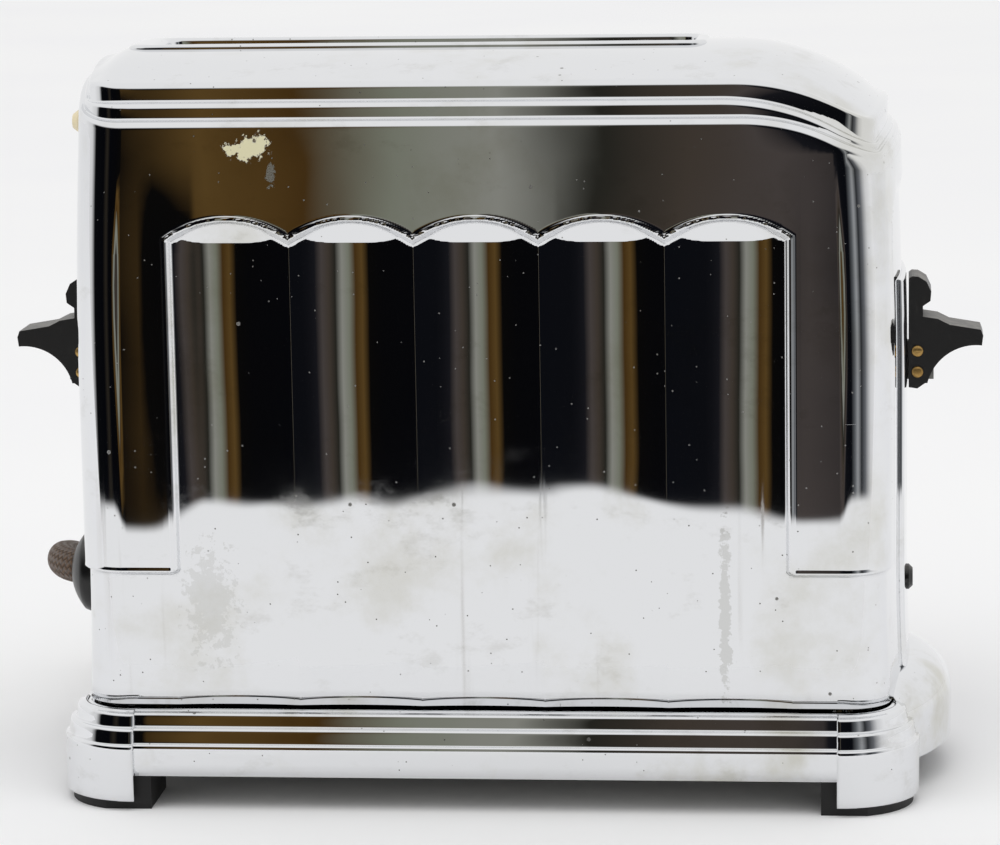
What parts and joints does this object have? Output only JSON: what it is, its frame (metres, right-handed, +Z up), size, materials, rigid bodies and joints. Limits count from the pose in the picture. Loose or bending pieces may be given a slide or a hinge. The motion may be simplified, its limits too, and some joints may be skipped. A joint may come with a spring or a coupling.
{
  "type": "toaster",
  "caption": "Single slot pop-up toaster with a fluted, stepped chrome shell on a footed base, a lever on each end, a clockwork timer and a coiled cloth cord.",
  "frame": {"origin": "on the floor, under the middle of the toaster without its free cord, plug and coil", "axes": "+X to the control end with the timer handle, +Y to the rear where the coiled cord hangs, +Z up"},
  "size_m": [0.2504, 0.1663, 0.1898],
  "materials": {
    "chrome": "mirror, worn and stained",
    "steel": "dull sheet",
    "bright_wire": "drawn wire",
    "mica": "matte mica sheet",
    "ribbon": "oxidised ribbon",
    "bakelite": "worn gloss",
    "brass": "aged",
    "cream": "yellowed",
    "porcelain": "glazed",
    "cloth": "woven braid",
    "tie": "matte strap"
  },
  "bodies": {
    "toaster": {"body_shell": "chrome", "slot_rim": "chrome", "end_plate_left": "chrome", "end_plate_right": "chrome", "base_shell": "chrome", "foot_cup_fl": "chrome", "foot_cup_fr": "chrome", "foot_cup_rl": "chrome", "foot_cup_rr": "chrome", "bottom_cover": "steel", "cover_screws": "steel", "chassis_floor": "steel", "well_end_left": "steel", "well_end_right": "steel", "baffle_front": "steel", "baffle_rear": "steel", "left_rod": "steel", "right_rod": "steel", "rod_bracket_left": "steel", "rod_bracket_right": "steel", "timer_frame": "steel", "lever_rod": "steel", "guard_front": "bright_wire", "guard_rear": "bright_wire", "lift_spring": "bright_wire", "latch_spring": "bright_wire", "heater_board_front": "mica", "heater_board_rear": "mica", "heater_ribbon_front": "ribbon", "heater_ribbon_rear": "ribbon", "cord_gland": "bakelite", "plug_body": "bakelite", "foot_pad_fl": "bakelite", "foot_pad_fr": "bakelite", "foot_pad_rl": "bakelite", "foot_pad_rr": "bakelite", "plug_blades": "brass", "terminal_block": "porcelain", "inner_leads": "cloth", "cord_lead": "cloth", "cord_coil": "cloth", "cord_tail": "cloth", "coil_tie": "tie"},
    "carriage": {"bread_rest": "bright_wire", "slider_left": "steel", "slider_right": "steel", "handle_left": "bakelite", "handle_left_rivets": "brass"},
    "winder": {"winding_slider": "steel", "handle_right": "bakelite", "handle_right_rivets": "brass"},
    "barrel": {"spring_barrel": "brass", "great_wheel": "brass"},
    "governor": {"governor_wheel": "brass"},
    "knob": {"browning_knob": "bakelite"},
    "button": {"release_button": "cream"}
  },
  "joints": [
    {"name": "carriage_slide", "type": "slide", "parent": "toaster", "child": "carriage", "axis": [0, 0, -1], "range_m": [0, 0.038], "stiffness_N_per_m": 45, "springref_m": -0.05},
    {"name": "winding_slide", "type": "slide", "parent": "toaster", "child": "winder", "axis": [0, 0, -1], "range_m": [0, 0.038], "stiffness_N_per_m": 45, "springref_m": -0.05},
    {"name": "barrel_turn", "type": "hinge", "parent": "toaster", "child": "barrel", "pos_m": [0.084, 0, 0.073], "axis": [0, 1, 0], "range_deg": [-0.2, 242.22]},
    {"name": "governor_spin", "type": "hinge", "parent": "toaster", "child": "governor", "pos_m": [0.07786, 0, 0.09308], "axis": [0, 1, 0], "range_deg": [-606.79, 1]},
    {"name": "browning_turn", "type": "hinge", "parent": "toaster", "child": "knob", "pos_m": [0.1063, -0.008, 0.051], "axis": [1, 0, 0], "range_deg": [-135, 135]},
    {"name": "release_push", "type": "slide", "parent": "toaster", "child": "button", "axis": [1, 0, 0], "range_m": [0, 0.0016], "stiffness_N_per_m": 300, "springref_m": -0.002}
  ],
  "couplings": [
    {"joint": "barrel_turn", "follows": "winding_slide", "rad_per_m": 111.11},
    {"joint": "governor_spin", "follows": "winding_slide", "rad_per_m": -277.78}
  ]
}
